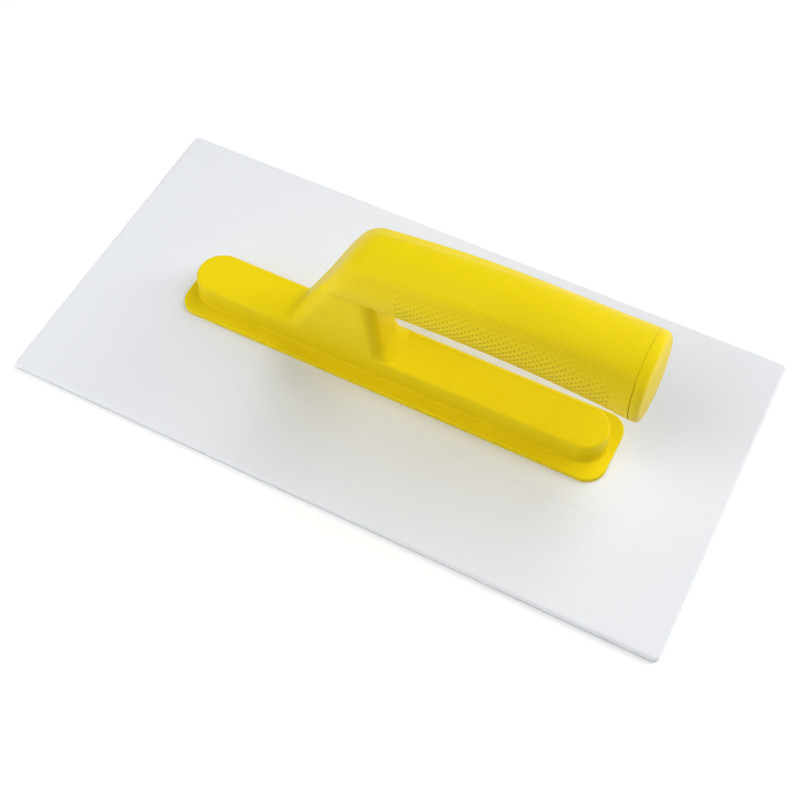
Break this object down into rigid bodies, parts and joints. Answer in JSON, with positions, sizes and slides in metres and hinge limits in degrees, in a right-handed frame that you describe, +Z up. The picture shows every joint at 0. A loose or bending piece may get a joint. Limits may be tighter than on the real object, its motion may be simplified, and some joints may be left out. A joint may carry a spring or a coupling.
{
  "type": "smoothing float",
  "caption": "Plastic smoothing float: a thin rectangular white blade with a yellow moulded grip that rises from one stem and overhangs a raised foot.",
  "frame": {"origin": "centre of the blade's flat working face, at the bottom of the object", "axes": "+X along the blade towards the grip's free end, +Y across the blade, +Z up from the working face through the handle"},
  "size_m": [0.28, 0.14, 0.082],
  "materials": {
    "blade": "smooth satin white polystyrene, faintly cloudy, with fine scuffs from use",
    "handle": "satin moulded yellow polypropylene, fine mould texture, dimpled on the grip's sides",
    "plug": "satin moulded yellow polypropylene, slightly smoother than the handle",
    "screws": "zinc plated steel"
  },
  "bodies": {
    "root": {"blade": "blade", "handle": "handle", "grip_plug": "plug", "blade_screws": "screws"}
  },
  "joints": []
}
